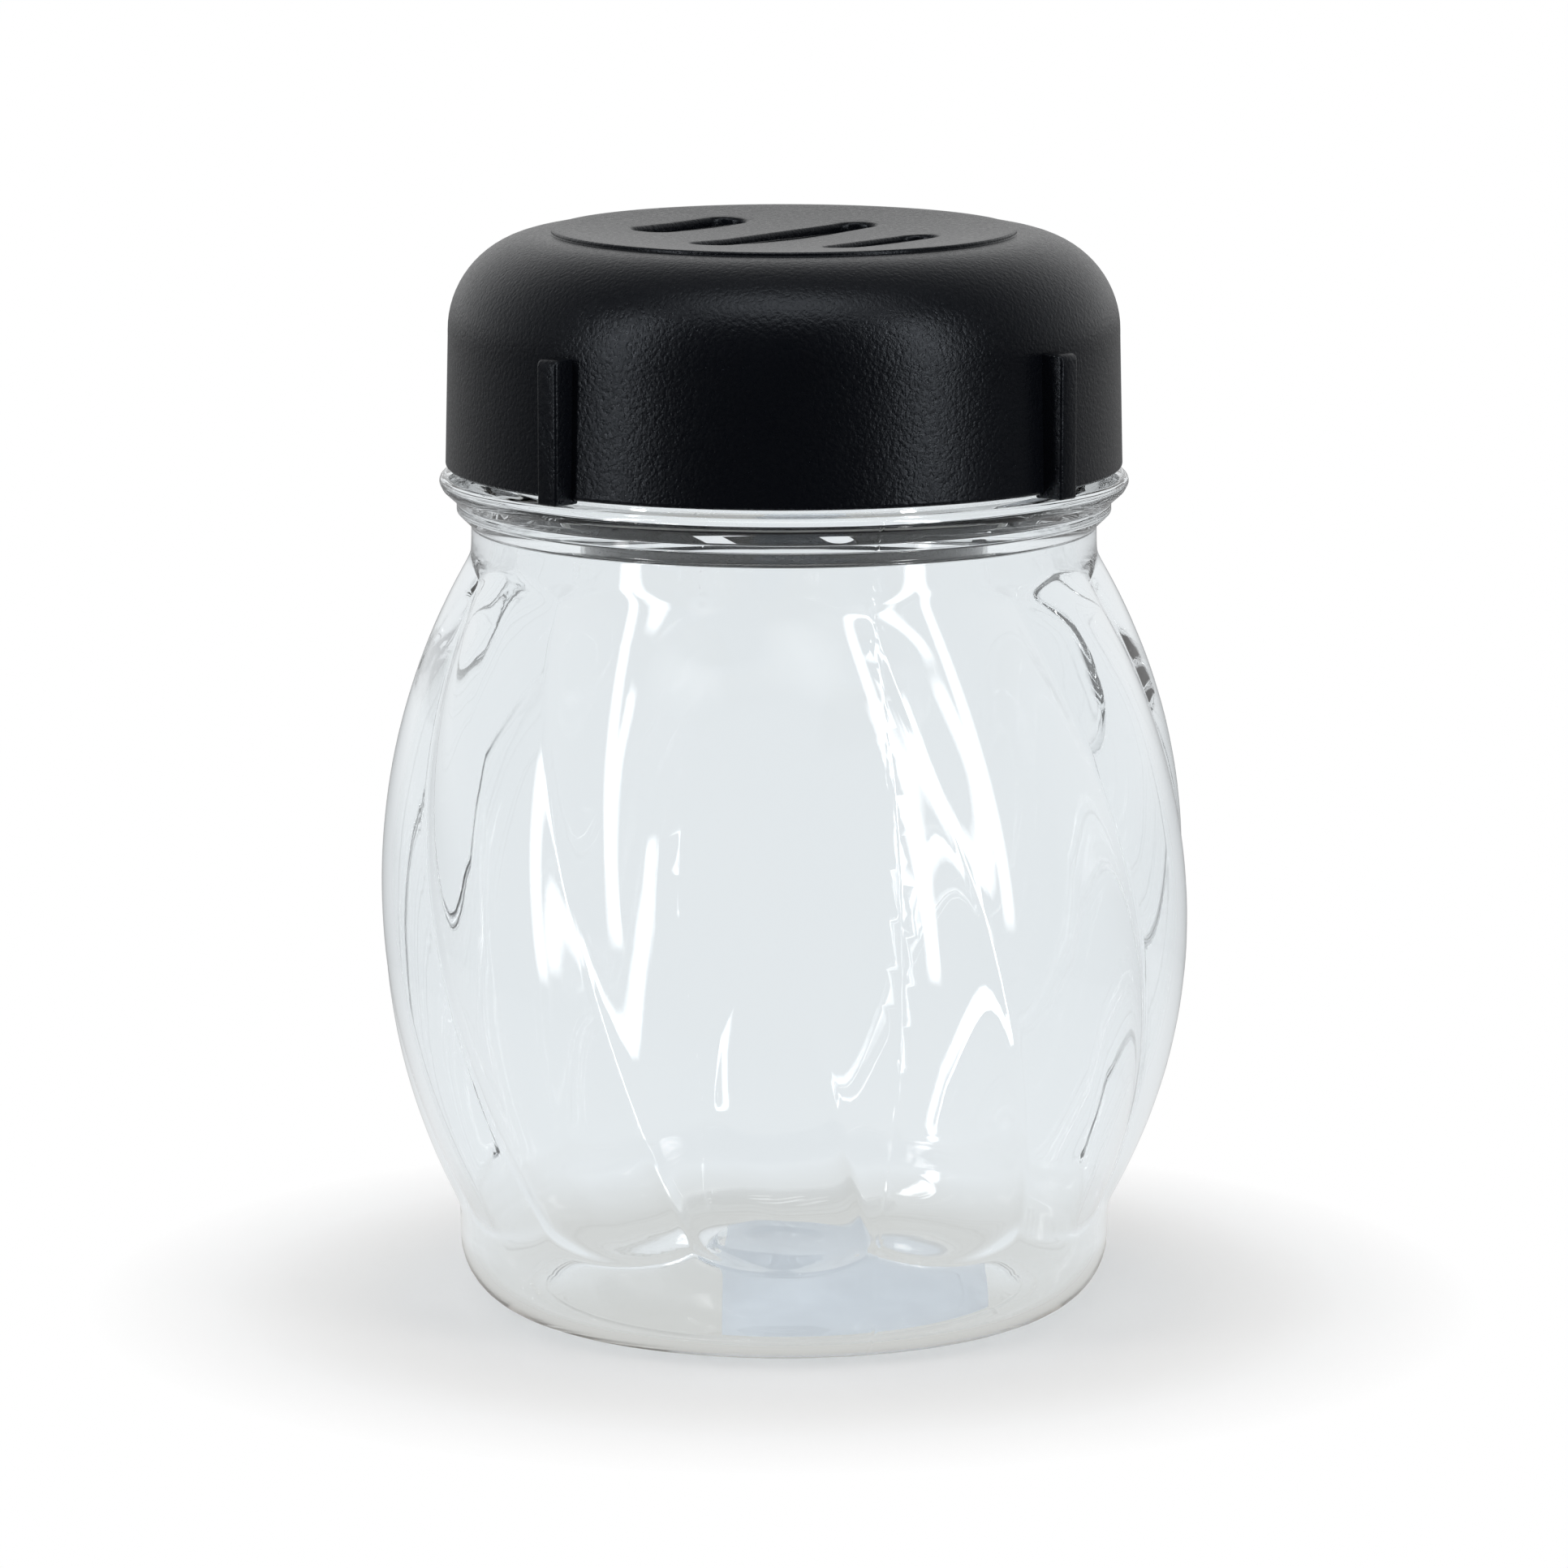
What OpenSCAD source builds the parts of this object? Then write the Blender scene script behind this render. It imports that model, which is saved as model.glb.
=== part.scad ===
// Table shaker for grated cheese: lobed clear jar, slotted screw lid, seal ring and blank base label.
// Millimetres, +Z up, origin on the floor in the middle of the base, the photographed side faces -Y.

/* [Jar body] */
// Largest diameter of the barrel, over the lobes
belly_d = 78.9; // [75:0.1:84]
// Height of the widest place above the floor
belly_z = 39.8; // [36:0.1:44]
// Diameter of the short straight foot
foot_d = 63.2; // [58:0.2:68]
// Height where the lobes' crests leave the foot
foot_z = 9.4; // [8.6:0.1:11]
// Radius of the rounded heel
heel_r = 6.5; // [4.5:0.1:7]
// Wall between the mouth's bore and the narrow waist under the bead
waist_wall = 3.3; // [2.6:0.1:4.6]
// Height of the waist's upper end above the floor, where the bead starts
waist_z = 76; // [70:0.5:86]
// Height of the plain waist above the lobes' crests
waist_h = 2.5; // [1.6:0.1:4]
// Wall thickness at the lobes' crests
jar_wall = 2.4; // [2:0.1:3.2]

/* [Lobes] */
// Number of swirled lobes round the barrel
lobe_count = 12; // [8:1:16]
// Depth of the grooves between the lobes
groove_depth = 1; // [0.5:0.1:1.2]
// Turn of the grooves from foot to waist, in degrees
lobe_twist = 31; // [0:1:60]

/* [Jar base] */
// Wall thickness of the domed base
base_t = 1.6; // [1.4:0.1:2.2]
// Height of the base's dome above the floor
push_up = 4.2; // [3.2:0.1:5]
// Wall thickness over the ring that the jar stands on
ring_t = 2.6; // [2:0.1:3.2]
// Width of the flat ring that the jar stands on
stand_w = 1.8; // [1:0.1:2.4]
// Diameter of the low boss in the middle of the floor
boss_d = 14.4; // [10:0.2:20]
// Height of the low boss above the floor's middle
boss_h = 0.7; // [0.4:0.1:2]

/* [Neck] */
// Diameter of the mouth
mouth_d = 53.6; // [51:0.2:54.4]
// Wall of the plain neck between the threads
neck_wall = 2.4; // [1.8:0.1:3]
// Height of the neck above the bead
neck_h = 13.7; // [12.8:0.1:16]
// Reach of the bead under the lid, out of the plain neck
bead_out = 3.95; // [3.5:0.05:5.2]
// Height from the waist to the top of the bead
bead_h = 5.3; // [4.6:0.1:6.5]

/* [Thread] */
// Rise of the thread in one turn
pitch = 4.233; // [3.6:0.001:4.6]
// Height of the thread above its wall
thread_h = 1.2; // [1:0.05:1.4]
// Gap between a thread's crest and the wall facing it
thread_gap = 0.45; // [0.35:0.05:0.6]
// Turns of thread on the jar
jar_turns = 1.25; // [1:0.05:1.4]

/* [Lid] */
// Thickness of the skirt at its lower edge
skirt_t = 1.7; // [1.4:0.1:2.2]
// Narrowing of the skirt's radius from its lower edge to the shoulder
skirt_draft = 0.3; // [0:0.05:0.4]
// Gap between the skirt's lower edge and the bead
skirt_gap = 0.7; // [0.5:0.1:1.2]
// Outer radius of the rounded shoulder
shoulder_r = 9.3; // [7:0.1:11]
// Thickness of the top and the shoulder
top_t = 1.8; // [1.5:0.1:2.2]
// Height of the lid's flat top above the jar's rim
head_h = 9.4; // [8.8:0.1:12]
// Height of the raised disc above the flat top
disc_h = 0.4; // [0.2:0.05:0.8]
// Depth of the disc's dish
dish_h = 0.85; // [0.4:0.05:1.1]

/* [Slots] */
// Length of the middle slot, end to end
long_slot = 25.5; // [20:0.5:30]
// Length of each outer slot, end to end
short_slot = 14.8; // [10:0.2:19]
// Width of the slots
slot_w = 4.1; // [2.6:0.1:5]
// Distance from slot to slot
slot_step = 11.9; // [8:0.1:13]

/* [Grip ribs] */
// Number of upright ribs round the skirt
rib_count = 4; // [2:1:12]
// Width of a rib
rib_w = 2.4; // [1.6:0.1:4]
// Reach of a rib out of the skirt's lower edge
rib_out = 2.05; // [1:0.05:3]
// Height of a rib
rib_h = 13.7; // [9:0.1:13.8]

/* [Seal and label] */
// Thickness of the seal ring
seal_t = 1.2; // [0.8:0.1:1.6]
// Reach of the label to the left of the middle
label_left = 5.85; // [4:0.05:12]
// Reach of the label to the right of the middle
label_right = 19.55; // [10:0.05:20]
// Reach of the label to the back of the middle
label_back = 15.5; // [8:0.1:18]
// Thickness of the label's paper
label_t = 0.12; // [0.08:0.01:0.3]

/* [Build] */
// Which node to draw

/* [Hidden] */
$fa = 4;
$fs = 0.5;
eps = 0.01;

// Radii and heights that follow from the sizes above
belly_r = belly_d / 2;
foot_r = foot_d / 2;
mouth_r = mouth_d / 2;
waist_r = mouth_r + waist_wall;
neck_r = mouth_r + neck_wall;
bead_r = neck_r + bead_out;
stand_r = foot_r - heel_r;
bead_top = waist_z + bead_h;
rim_z = bead_top + neck_h;

// The barrel's outline over its crests: two arcs that share an upright tangent at the belly
lobe_top = waist_z - waist_h;
upper_drop = belly_r - waist_r;
upper_rise = lobe_top - belly_z;
upper_arc = (pow(upper_rise, 2) + pow(upper_drop, 2)) / (2 * upper_drop);
lower_drop = belly_r - foot_r;
lower_rise = belly_z - foot_z;
lower_arc = (pow(lower_rise, 2) + pow(lower_drop, 2)) / (2 * lower_drop);
function barrel_r(z) = z > belly_z
    ? belly_r - upper_arc + sqrt(pow(upper_arc, 2) - pow(z - belly_z, 2))
    : belly_r - lower_arc + sqrt(pow(lower_arc, 2) - pow(belly_z - z, 2));

// Lobes: grid of the barrel's surface, sunk into the foot and the waist at its ends
lobe_steps = 8;
ring_steps = 20;
around = lobe_count * lobe_steps;
barrel_sink = 1;
barrel_low = foot_z - barrel_sink;
barrel_top = lobe_top + barrel_sink;
lap_ratio = 3;
end_lap = lap_ratio * groove_depth;
groove_angle = -89;
function ring_z(i) = barrel_low + (barrel_top - barrel_low) * i / ring_steps;
function groove_turn(z) = groove_angle - lobe_twist * (z - belly_z) / (lobe_top - foot_z);

// Threads
thread_sink = 0.4;
thread_stub = 0.1;
thread_base_w = 2.7;
thread_crest_w = 1;
run_out = 40;
step_angle = 7.5;
bore_r = neck_r + thread_h + thread_gap;
thread_below_rim = 2.4;
jar_thread_z = rim_z - thread_below_rim - jar_turns * pitch;
jar_thread_angle = 200;
lid_turns = 1;
thread_drop = 1.75;
lid_thread_late = jar_turns * 360 - lid_turns * 360;
lid_thread_z = jar_thread_z + pitch * lid_thread_late / 360 - thread_drop;

// Lid
skirt_z = bead_top + skirt_gap;
skirt_r = bore_r + skirt_t;
shoulder_out = skirt_r - skirt_draft;
flat_z = rim_z + head_h;
shoulder_z = flat_z - shoulder_r;
shoulder_c = shoulder_out - shoulder_r;
disc_margin = 0.65;
disc_r = shoulder_c - disc_margin;
disc_z = flat_z + disc_h;
disc_rim_w = 0.9;
dish_r = disc_r - disc_rim_w;
lid_angle = 50.4;
rib_below = 0.4;
rib_foot = 0.5;
rib_chamfer = 0.8;
rib_low_chamfer = 0.3;
seal_rib_t = 1.8;

// Seal ring, base and label
seal_lap_in = 0.3;
seal_lap_out = 0.4;
seal_in = mouth_r - seal_lap_in;
seal_out = neck_r + seal_lap_out;
boss_sink = 1;
boss_slope = 0.6;
recess_r = stand_r - stand_w;
label_clear = 0.7;
label_r = recess_r - label_clear;
label_over = 2;

// The base's dome: an arc from the standing ring, flat in the middle and run on a little under the floor
dome_arc = (pow(recess_r, 2) + pow(push_up, 2)) / (2 * push_up);
dome_mid = push_up - dome_arc;
dome_low = -0.4;
dome_flat = 3;
dome_steps = 6;
dome_reach = sqrt(pow(dome_arc, 2) - pow(dome_low - dome_mid, 2));
function dome_z(r) = dome_mid + sqrt(pow(dome_arc, 2) - pow(r, 2));

// The lobed barrel as one closed skin; a lobe's middle is its crest
module barrel() {
    points = [
        for (i = [0:ring_steps])
            let (z = ring_z(i))
            for (j = [0:around - 1])
                let (across = 2 * (j % lobe_steps) / lobe_steps - 1)
                let (r = barrel_r(z) - groove_depth * pow(across, 2))
                let (a = groove_turn(z) + 360 * j / around)
                [r * cos(a), r * sin(a), z]
    ];
    sides = [
        for (i = [0:ring_steps - 1])
            for (j = [0:around - 1])
                let (k = (j + 1) % around)
                let (low = i * around)
                let (high = low + around)
                for (face = [[low + j, high + j, high + k], [low + j, high + k, low + k]])
                    face
    ];
    bottom = [for (j = [0:around - 1]) j];
    top = [for (j = [around - 1:-1:0]) ring_steps * around + j];
    polyhedron(points, concat(sides, [bottom, top]), convexity = 8);
}

// Heel and foot in section
module foot_section() {
    square([stand_r, heel_r]);
    intersection() {
        translate([stand_r, heel_r]) circle(heel_r);
        square([foot_r + 1, heel_r]);
    }
    translate([0, heel_r]) square([foot_r, foot_z + end_lap - heel_r]);
}

// Waist, bead and plain neck in section
module neck_section() {
    lap = 1.2;
    waist_inset = 0.15;
    waist_in = waist_r - waist_inset;
    bead_edge = 0.9;
    waist_band = 0.3;
    bead_low = waist_z + waist_band;
    bead_face = 2.7;
    bead_under = 0.8;
    rim_chamfer = 0.5;
    translate([0, lobe_top - end_lap]) square([waist_r, waist_h + end_lap + lap]);
    polygon([
        [0, bead_low],
        [waist_in, bead_low],
        [bead_r - bead_under, bead_top - bead_face],
        [bead_r, bead_top - bead_edge],
        [bead_r - bead_edge, bead_top],
        [0, bead_top]
    ]);
    translate([bead_r - bead_edge, bead_top - bead_edge]) circle(bead_edge);
    polygon([
        [0, bead_top - lap],
        [neck_r, bead_top - lap],
        [neck_r, rim_z - rim_chamfer],
        [neck_r - rim_chamfer, rim_z],
        [0, rim_z]
    ]);
}

// Points along an arc after its first point
function arc(x, z, r, from, to, steps) = [
    for (i = [1:steps])
        let (a = from + (to - from) * i / steps)
        [x + r * cos(a), z + r * sin(a)]
];

// The jar's inside in section: a rounded floor corner, two arcs inside the barrel's own, and the mouth
module hollow_section() {
    corner_r = 5;
    over = 5;
    low_r = lower_arc - jar_wall;
    low_x = belly_r - lower_arc;
    high_r = upper_arc - jar_wall;
    high_x = belly_r - upper_arc;
    corner_z = ring_t + corner_r;
    corner_x = low_x + sqrt(pow(low_r - corner_r, 2) - pow(belly_z - corner_z, 2));
    touch = atan2(corner_z - belly_z, corner_x - low_x);
    mouth = acos((mouth_r - high_x) / high_r);
    polygon(concat(
        [[0, ring_t], [corner_x, ring_t]],
        arc(corner_x, corner_z, corner_r, -90, touch, 6),
        arc(low_x, belly_z, low_r, touch, 0, 8),
        arc(high_x, belly_z, high_r, 0, mouth, 10),
        [[mouth_r, rim_z + over], [0, rim_z + over]]
    ));
}

// The space under the base's dome in section
module dome_section() {
    polygon(concat(
        [[0, dome_low]],
        [for (i = [dome_steps:-1:0])
            let (r = dome_flat + (dome_reach - dome_flat) * i / dome_steps)
            [r, dome_z(r)]],
        [[0, dome_z(dome_flat)]]
    ));
}

// One helical ridge; a crest radius below the wall radius makes it face inwards
module thread(wall_r, crest_r, z_start, a_start, turns) {
    out = crest_r > wall_r ? 1 : -1;
    root_r = wall_r - out * thread_sink;
    flat_r = root_r + out * thread_stub;
    count = ceil(turns * 360 / step_angle);
    points = [
        for (i = [0:count])
            let (t = turns * 360 * i / count)
            let (grow = min(1, t / run_out, (turns * 360 - t) / run_out))
            let (tip_r = flat_r + (crest_r - flat_r) * grow)
            let (a = a_start + t)
            let (z = z_start + pitch * t / 360)
            for (corner = [[root_r, -thread_base_w], [tip_r, -thread_crest_w],
                           [tip_r, thread_crest_w], [root_r, thread_base_w]])
                [corner[0] * cos(a), corner[0] * sin(a), z + corner[1] / 2]
    ];
    ring = out > 0 ? [0, 1, 2, 3] : [3, 2, 1, 0];
    sides = [
        for (i = [0:count - 1])
            for (n = [0:3])
                let (p = 4 * i + ring[n])
                let (q = 4 * i + ring[(n + 1) % 4])
                for (face = [[p, q, q + 4], [p, q + 4, p + 4]])
                    face
    ];
    first = [for (n = [3:-1:0]) ring[n]];
    last = [for (n = [0:3]) 4 * count + ring[n]];
    polyhedron(points, concat(sides, [first, last]), convexity = 8);
}

module jar() {
    color([0.9, 0.93, 0.94, 0.35])
    difference() {
        union() {
            barrel();
            rotate_extrude() foot_section();
            rotate_extrude() neck_section();
            thread(neck_r, neck_r + thread_h, jar_thread_z, jar_thread_angle, jar_turns);
        }
        difference() {
            rotate_extrude() hollow_section();
            translate([0, 0, base_t]) rotate_extrude() dome_section();
            translate([0, 0, push_up + base_t - boss_sink])
                cylinder(h = boss_h + boss_sink, r1 = boss_d / 2 + boss_slope, r2 = boss_d / 2 - boss_slope);
        }
        rotate_extrude() dome_section();
    }
}

// The lid's shell in section, without its slots
module lid_section() {
    inner_r = shoulder_r - top_t;
    ceiling_z = flat_z - top_t;
    difference() {
        union() {
            polygon([
                [0, skirt_z],
                [skirt_r, skirt_z],
                [shoulder_out, shoulder_z],
                [0, shoulder_z]
            ]);
            intersection() {
                translate([shoulder_c, shoulder_z]) circle(shoulder_r);
                translate([0, shoulder_z - 1]) square([shoulder_out + 1, shoulder_r + 2]);
            }
            translate([0, shoulder_z]) square([shoulder_c, shoulder_r]);
            translate([0, flat_z - 1]) square([disc_r, disc_h + 1]);
        }
        polygon([
            [0, skirt_z - 1],
            [bore_r, skirt_z - 1],
            [bore_r, shoulder_z],
            [0, shoulder_z]
        ]);
        intersection() {
            translate([shoulder_c, shoulder_z]) circle(inner_r);
            translate([0, shoulder_z]) square([shoulder_out, inner_r + 1]);
        }
        translate([0, shoulder_z - eps]) square([shoulder_c, ceiling_z - shoulder_z + eps]);
        polygon([
            [0, disc_z - dish_h],
            [dish_r, disc_z],
            [dish_r, disc_z + 1],
            [0, disc_z + 1]
        ]);
    }
    rib_in = (mouth_r + neck_r - seal_rib_t) / 2;
    rib_top = (arc_z(inner_r, rib_in) + arc_z(shoulder_r, rib_in + seal_rib_t)) / 2;
    translate([rib_in, rim_z + seal_t]) square([seal_rib_t, rib_top - rim_z - seal_t]);
}

// Height of an arc of the shoulder's centre at a radius
function arc_z(arc_r, r) = shoulder_z + sqrt(pow(arc_r, 2) - pow(max(0, r - shoulder_c), 2));

// One slot, end to end along X
module slot(length) {
    straight = length - slot_w;
    translate([0, 0, flat_z - 3 * top_t])
    linear_extrude(6 * top_t) {
        square([straight, slot_w], center = true);
        translate([straight / 2, 0]) circle(slot_w / 2);
        translate([-straight / 2, 0]) circle(slot_w / 2);
    }
}

// One upright grip rib on the skirt's +X side
module grip_rib() {
    root = bore_r + skirt_t / 2;
    out = skirt_r + rib_out;
    low = skirt_z - rib_below;
    high = low + rib_h;
    rotate([90, 0, 0])
    translate([0, 0, -rib_w / 2])
    linear_extrude(rib_w)
    polygon([
        [root, skirt_z + rib_foot],
        [skirt_r - skirt_t / 4, low],
        [out - rib_low_chamfer, low],
        [out, low + rib_low_chamfer],
        [out, high - rib_chamfer],
        [out - rib_chamfer, high],
        [root, high]
    ]);
}

module lid() {
    color([0.03, 0.03, 0.035])
    rotate([0, 0, lid_angle])
    difference() {
        union() {
            rotate_extrude() lid_section();
            for (i = [0:rib_count - 1]) rotate([0, 0, 360 * i / rib_count]) grip_rib();
            thread(bore_r, neck_r + thread_gap, lid_thread_z,
                jar_thread_angle + lid_thread_late - lid_angle, lid_turns);
        }
        slot(long_slot);
        translate([0, slot_step, 0]) slot(short_slot);
        translate([0, -slot_step, 0]) slot(short_slot);
    }
}

module seal_ring() {
    color([0.75, 0.75, 0.72])
    translate([0, 0, rim_z])
    difference() {
        cylinder(h = seal_t, r = seal_out);
        translate([0, 0, -1]) cylinder(h = seal_t + 2, r = seal_in);
    }
}

module base_label() {
    color([0.86, 0.88, 0.93])
    intersection() {
        linear_extrude(push_up + label_over)
        intersection() {
            circle(label_r);
            translate([-label_left, -label_r - label_over])
                square([label_left + label_right, label_r + label_over + label_back]);
        }
        difference() {
            rotate_extrude() dome_section();
            translate([0, 0, -label_t]) rotate_extrude() dome_section();
        }
    }
}

jar();
lid();
seal_ring();
base_label();
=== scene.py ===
"""Table shaker for grated cheese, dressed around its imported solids.

A clear swirl-lobed jar with a blank sticker under its base, and a black slotted screw lid with a soft liner.
Sizes in the classes are millimetres, as on a drawing. The finished meshes are metres, in the solids' frame.
"""

import logging
import math
from collections.abc import Callable
from dataclasses import dataclass
from enum import Enum

import bmesh
import bpy
from mathutils import Matrix, Vector, noise


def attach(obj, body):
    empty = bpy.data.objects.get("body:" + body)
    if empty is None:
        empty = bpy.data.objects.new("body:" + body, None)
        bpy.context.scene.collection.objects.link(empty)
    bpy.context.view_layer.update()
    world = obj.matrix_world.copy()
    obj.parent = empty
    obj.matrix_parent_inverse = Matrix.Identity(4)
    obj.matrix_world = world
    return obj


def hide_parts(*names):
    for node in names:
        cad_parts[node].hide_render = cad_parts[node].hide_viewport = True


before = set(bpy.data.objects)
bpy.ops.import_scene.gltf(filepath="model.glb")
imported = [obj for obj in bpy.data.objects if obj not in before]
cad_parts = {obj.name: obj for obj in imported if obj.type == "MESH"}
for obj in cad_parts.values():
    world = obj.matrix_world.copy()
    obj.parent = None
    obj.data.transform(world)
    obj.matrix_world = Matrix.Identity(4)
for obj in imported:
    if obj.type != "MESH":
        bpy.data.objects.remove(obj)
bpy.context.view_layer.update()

MM = 0.001
LOG = logging.getLogger("shaker")

# Lengths in millimetres: merged points, cut planes, heights that count as level, half the step of a slope
MERGE = 1e-4
SLICE = 1e-5
LEVEL = 0.01
PROBE = 0.1
# Edges that turn by more radians than this get rounded
SHARP = 0.8
# Two runs of a section that meet at twice this angle, or at more, are one run without a corner
STRAIGHT = math.radians(89.5)
# The parts of the noise's range that a finish uses
MOTTLE_SPAN = (0.3, 0.7)
GRAIN_SPAN = (0.25, 0.75)
# Sockets of a Mix node that mixes colours: its two inputs and its output
MIX_FIRST = 6
MIX_SECOND = 7
MIX_OUT = 2

Point = tuple[float, float]
Corner = tuple[float, float, float]
Colour = tuple[float, float, float]
MeshParts = list[bmesh.types.BMVert | bmesh.types.BMEdge | bmesh.types.BMFace]
# Start and end of a value's range, and what the start and the end become
RangeMap = tuple[float, float, float, float]

WHITE: Colour = (1.0, 1.0, 1.0)


class Body(Enum):
    """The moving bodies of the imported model."""

    JAR = "jar"
    SEAL = "seal_ring"
    LID = "lid"


class Slot(Enum):
    """The record's material slots."""

    CLEAR = "clear_plastic"
    LID = "lid_plastic"
    SEAL = "seal"
    PAPER = "paper"


class Cut(Enum):
    """What a second closed shape does to the first."""

    TAKE = "DIFFERENCE"
    ADD = "UNION"


def blend_step(low: float, high: float, value: float) -> float:
    """Smooth step from 0 at low to 1 at high.

    Args:
        low: Where the step starts.
        high: Where the step ends; it may lie below low.
        value: Where to read it.

    Returns:
        The step's height, from 0 to 1.
    """
    share = min(1.0, max(0.0, (value - low) / (high - low)))
    return share * share * (3.0 - 2.0 * share)


def spread(low: float, high: float, step: float) -> list[float]:
    """Evenly spaced values from low to high, both included.

    Args:
        low: First value.
        high: Last value, on either side of low.
        step: Largest distance between two values.

    Returns:
        The values in order.
    """
    count = max(1, math.ceil(abs(high - low) / step))
    return [low + (high - low) * i / count for i in range(count + 1)]


def rows(ends: tuple[float, ...], steps: tuple[float, ...]) -> list[float]:
    """Heights of a mesh's rows, band by band.

    Args:
        ends: Where the bands start and end, in order.
        steps: Largest step in each band.

    Returns:
        The heights in order.
    """
    heights = [z for low, high, step in zip(ends, ends[1:], steps) for z in spread(low, high, step)[:-1]]
    return heights + [ends[-1]]


def slope(shape: Callable[[float], float], z: float) -> float:
    """Change of a shape's radius with its height."""
    return (shape(z + PROBE) - shape(z - PROBE)) / (2 * PROBE)


def rounded_path(corners: list[Corner], turn: float = 10.0) -> list[Point]:
    """Follows corner points of a section and rounds each corner by its radius.

    Args:
        corners: Radius from the axis, height, and rounding radius of each corner.
        turn: Largest turn between two points of a rounding, in degrees.

    Returns:
        The section's points in order.
    """
    path: list[Point] = [corners[0][:2]]
    for before, corner, after in zip(corners, corners[1:], corners[2:]):
        here = Vector(corner[:2])
        back = (Vector(before[:2]) - here).normalized()
        ahead = (Vector(after[:2]) - here).normalized()
        half = back.angle(ahead) / 2.0
        if corner[2] == 0.0 or half > STRAIGHT:
            path.append(corner[:2])
            continue
        reach = corner[2] / math.tan(half)
        centre = here + (back + ahead).normalized() * (corner[2] / math.sin(half))
        start = here + back * reach - centre
        sweep = start.angle_signed(here + ahead * reach - centre)
        count = max(2, math.ceil(abs(math.degrees(sweep)) / turn))
        for i in range(count + 1):
            spoke = start.copy()
            spoke.rotate(Matrix.Rotation(-sweep * i / count, 2))
            path.append((centre + spoke)[:])
    path.append(corners[-1][:2])
    return path


def revolve(path: list[Point], steps: int) -> bmesh.types.BMesh:
    """Turns a section once round the Z axis.

    Args:
        path: Radius and height of each point of the section.
        steps: Number of columns round the axis; the first lies on +X.

    Returns:
        The turned mesh, its poles and its seam merged.
    """
    mesh = bmesh.new()
    row = [mesh.verts.new((r, 0.0, z)) for r, z in path]
    rungs = [mesh.edges.new(pair) for pair in zip(row, row[1:])]
    bmesh.ops.spin(
        mesh, geom=row + rungs, cent=(0, 0, 0), axis=(0, 0, 1), dvec=(0, 0, 0),
        angle=math.tau, steps=steps, use_merge=True, use_duplicate=False,
    )
    bmesh.ops.remove_doubles(mesh, verts=mesh.verts, dist=MERGE)
    bmesh.ops.recalc_face_normals(mesh, faces=mesh.faces)
    return mesh


def whole(mesh: bmesh.types.BMesh) -> MeshParts:
    """Everything in a mesh, for an operator."""
    return mesh.verts[:] + mesh.edges[:] + mesh.faces[:]


def verts_of(geom: MeshParts) -> list[bmesh.types.BMVert]:
    """The vertices in what an operator gives back."""
    return [part for part in geom if isinstance(part, bmesh.types.BMVert)]


def round_edges(mesh: bmesh.types.BMesh, edges: list[bmesh.types.BMEdge], size: float, segments: int) -> None:
    """Rounds edges of a mesh.

    Args:
        mesh: The mesh to change.
        edges: The edges to round.
        size: How far the rounding reaches from each edge.
        segments: Faces across the rounding.
    """
    bmesh.ops.bevel(mesh, geom=edges, offset=size, offset_type="OFFSET", segments=segments,
                    profile=0.5, affect="EDGES", material=-1)


def turn_about(mesh: bmesh.types.BMesh, verts: list[bmesh.types.BMVert], angle: float) -> None:
    """Turns vertices round the Z axis by an angle in degrees."""
    bmesh.ops.rotate(mesh, cent=(0, 0, 0), matrix=Matrix.Rotation(math.radians(angle), 3, "Z"), verts=verts)


def reshape(mesh: bmesh.types.BMesh, move: Callable[[float, float, float], Corner]) -> None:
    """Moves every vertex of a turned mesh in radius, angle and height.

    Args:
        mesh: The mesh to change.
        move: Takes and gives a radius, an angle in degrees and a height.
    """
    for vert in mesh.verts:
        x, y, z = vert.co
        r, a, z = move(math.hypot(x, y), math.degrees(math.atan2(y, x)), z)
        vert.co = (r * math.cos(math.radians(a)), r * math.sin(math.radians(a)), z)


def add_piece(mesh: bmesh.types.BMesh, name: str, material: bpy.types.Material,
              crease: float = 40.0) -> bpy.types.Object:
    """Makes a scene object of a mesh that is in millimetres.

    Args:
        mesh: The finished mesh, freed here.
        name: The piece's name.
        material: Its finish.
        crease: Edges that bend by more degrees than this stay sharp.

    Returns:
        The new object, at the origin, in metres.
    """
    bmesh.ops.scale(mesh, vec=(MM, MM, MM), verts=mesh.verts)
    data = bpy.data.meshes.new(name)
    mesh.to_mesh(data)
    mesh.free()
    data.shade_smooth()
    data.set_sharp_from_angle(angle=math.radians(crease))
    data.materials.append(material)
    piece = bpy.data.objects.new(name, data)
    bpy.context.scene.collection.objects.link(piece)
    return piece


def combine(mesh: bmesh.types.BMesh, tool: bmesh.types.BMesh, cut: Cut) -> bmesh.types.BMesh:
    """Takes one closed shape from another, or adds it, with the exact solver.

    Args:
        mesh: The shape to change, freed here.
        tool: The second shape, freed here.
        cut: What the second shape does.

    Returns:
        The new mesh.
    """
    pair = []
    for shape in (mesh, tool):
        data = bpy.data.meshes.new("shape")
        shape.to_mesh(data)
        shape.free()
        pair.append(bpy.data.objects.new("shape", data))
        bpy.context.scene.collection.objects.link(pair[-1])
    work = pair[0].modifiers.new("combine", "BOOLEAN")
    work.operation = cut.value
    work.solver = "EXACT"
    work.object = pair[1]
    result = bmesh.new()
    result.from_object(pair[0], bpy.context.evaluated_depsgraph_get())
    for shape in pair:
        data = shape.data
        bpy.data.objects.remove(shape)
        bpy.data.meshes.remove(data)
    bmesh.ops.remove_doubles(result, verts=result.verts, dist=MERGE)
    return result


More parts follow.
